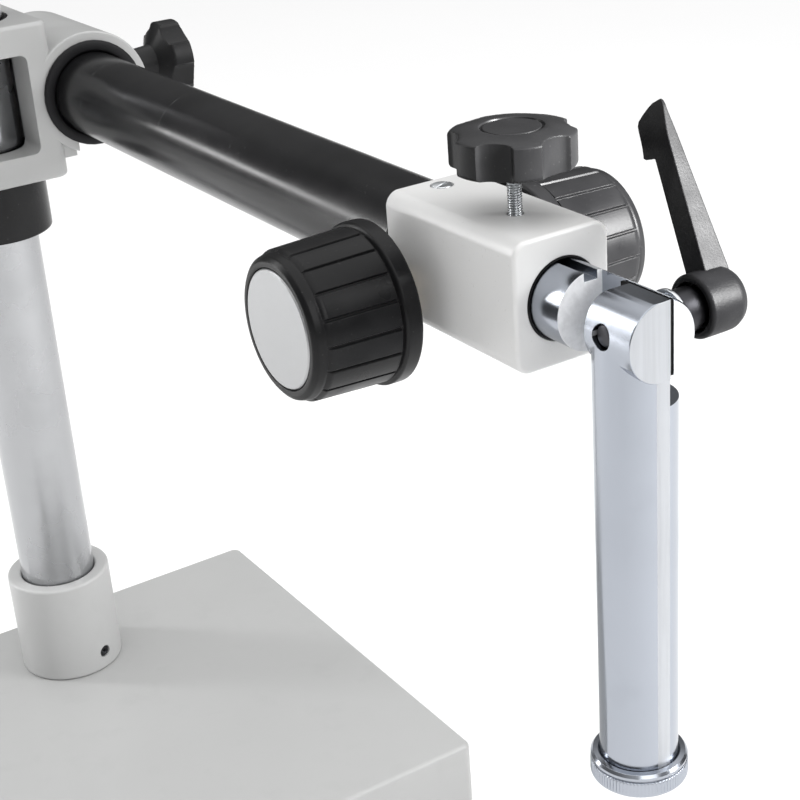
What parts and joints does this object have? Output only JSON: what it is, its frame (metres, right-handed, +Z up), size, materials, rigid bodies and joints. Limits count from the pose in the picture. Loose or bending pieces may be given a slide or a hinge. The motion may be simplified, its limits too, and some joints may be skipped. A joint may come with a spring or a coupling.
{
  "type": "stereo microscope boom stand",
  "caption": "Boom stand for a stereo microscope: slab base, steel pole, clamp crosshead, sliding black boom, rack focus block with two knobs, tilt joint with lever and drop post.",
  "frame": {"origin": "under the middle of the whole stand, on the plane of the rubber feet", "axes": "+Z up along the pole, -Y the way the boom points, X along the axes of the focus knobs and of the tilt lever"},
  "size_m": [0.252, 0.595, 0.4553],
  "materials": {
    "base_paint": "satin",
    "light_grey_paint": "satin",
    "off_white_paint": "satin",
    "bright_steel": "satin",
    "chrome": "polished",
    "black_anodised": "satin",
    "black_plastic": "satin",
    "black_casting": "matte",
    "silver_disc": "satin",
    "brass": "satin",
    "rubber": "matte",
    "zinc_steel": "satin"
  },
  "bodies": {
    "stand": {"base_casting": "base_paint", "bottom_plate": "zinc_steel", "foot_fl": "rubber", "foot_fr": "rubber", "foot_bl": "rubber", "foot_br": "rubber", "pole": "bright_steel", "pole_top_cap": "black_plastic", "pole_bolt": "zinc_steel", "pole_washer": "zinc_steel", "pole_collar": "light_grey_paint", "collar_set_screw": "black_casting"},
    "stop": {"stop_collar": "black_anodised", "stop_collar_screw": "black_casting"},
    "crosshead": {"crosshead": "light_grey_paint", "pole_bush_lower": "black_plastic", "pole_bush_upper": "black_plastic", "boom_clamp_pad": "brass", "pole_clamp_pad": "brass"},
    "boom_clamp": {"boom_clamp_knob": "black_plastic", "boom_clamp_stud": "zinc_steel"},
    "pole_clamp": {"pole_clamp_knob": "black_plastic", "pole_clamp_stud": "zinc_steel"},
    "boom_bushes": {"boom_bush_front": "black_plastic", "boom_bush_rear": "black_plastic"},
    "boom": {"boom_tube": "black_anodised", "boom_rear_cap": "black_plastic", "focus_block": "off_white_paint", "shaft_bush": "black_plastic", "block_plug_screw": "zinc_steel", "lock_pad": "brass", "pinion_bush_left": "brass", "pinion_bush_right": "brass"},
    "lock": {"lock_knob": "black_plastic", "lock_stud": "zinc_steel"},
    "focus_shaft": {"rack_shaft": "chrome", "focus_rack": "bright_steel", "tilt_shim": "black_plastic"},
    "focus_knobs": {"pinion": "bright_steel", "focus_knob_left": "black_plastic", "focus_knob_right": "black_plastic", "knob_disc_left": "silver_disc", "knob_disc_right": "silver_disc"},
    "post": {"drop_post": "chrome"},
    "ring": {"knurled_ring": "chrome"},
    "lever_core": {"lever_insert": "black_casting", "lever_washer": "zinc_steel", "lever_screw": "zinc_steel"},
    "lever": {"lever_handle": "black_casting"}
  },
  "joints": [
    {"name": "height", "type": "slide", "parent": "stand", "child": "stop", "axis": [0, 0, 1], "range_m": [-0.15, 0.055]},
    {"name": "boom_swing", "type": "hinge", "parent": "stop", "child": "crosshead", "pos_m": [0, 0.14215, 0.35], "axis": [0, 0, 1], "continuous": true},
    {"name": "boom_clamp_turn", "type": "hinge", "parent": "crosshead", "child": "boom_clamp", "pos_m": [0.096, 0.14215, 0.35], "axis": [1, 0, 0], "range_deg": [-45, 540]},
    {"name": "pole_clamp_turn", "type": "hinge", "parent": "crosshead", "child": "pole_clamp", "pos_m": [-0.054, 0.14215, 0.35], "axis": [-1, 0, 0], "range_deg": [-45, 540]},
    {"name": "boom_roll", "type": "hinge", "parent": "crosshead", "child": "boom_bushes", "pos_m": [0.046, 0.14215, 0.35], "axis": [0, 1, 0], "range_deg": [-90, 90]},
    {"name": "boom_reach", "type": "slide", "parent": "boom_bushes", "child": "boom", "axis": [0, 1, 0], "range_m": [-0.1, 0.25]},
    {"name": "lock_turn", "type": "hinge", "parent": "boom", "child": "lock", "pos_m": [0.046, -0.22605, 0.39], "axis": [0, 0, 1], "range_deg": [-45, 540]},
    {"name": "focus_slide", "type": "slide", "parent": "boom", "child": "focus_shaft", "axis": [0, 1, 0], "range_m": [-0.03, 0.008]},
    {"name": "focus_knob_turn", "type": "hinge", "parent": "boom", "child": "focus_knobs", "pos_m": [0.046, -0.18735, 0.3391], "axis": [1, 0, 0], "range_deg": [-89, 331]},
    {"name": "post_tilt", "type": "hinge", "parent": "focus_shaft", "child": "post", "pos_m": [0.046, -0.28185, 0.351], "axis": [1, 0, 0], "range_deg": [-22, 22]},
    {"name": "ring_turn", "type": "hinge", "parent": "post", "child": "ring", "pos_m": [0.046, -0.28185, 0.2009], "axis": [0, 0, 1], "range_deg": [-180, 180]},
    {"name": "lever_turn", "type": "hinge", "parent": "focus_shaft", "child": "lever_core", "pos_m": [0.07, -0.28185, 0.351], "axis": [1, 0, 0], "range_deg": [-20, 110]},
    {"name": "lever_lift", "type": "slide", "parent": "lever_core", "child": "lever", "axis": [1, 0, 0], "range_m": [0, 0.004], "stiffness_N_per_m": 1200, "springref_m": -0.002}
  ],
  "couplings": [
    {"joint": "focus_knob_turn", "follows": "focus_slide", "rad_per_m": -192.31}
  ]
}
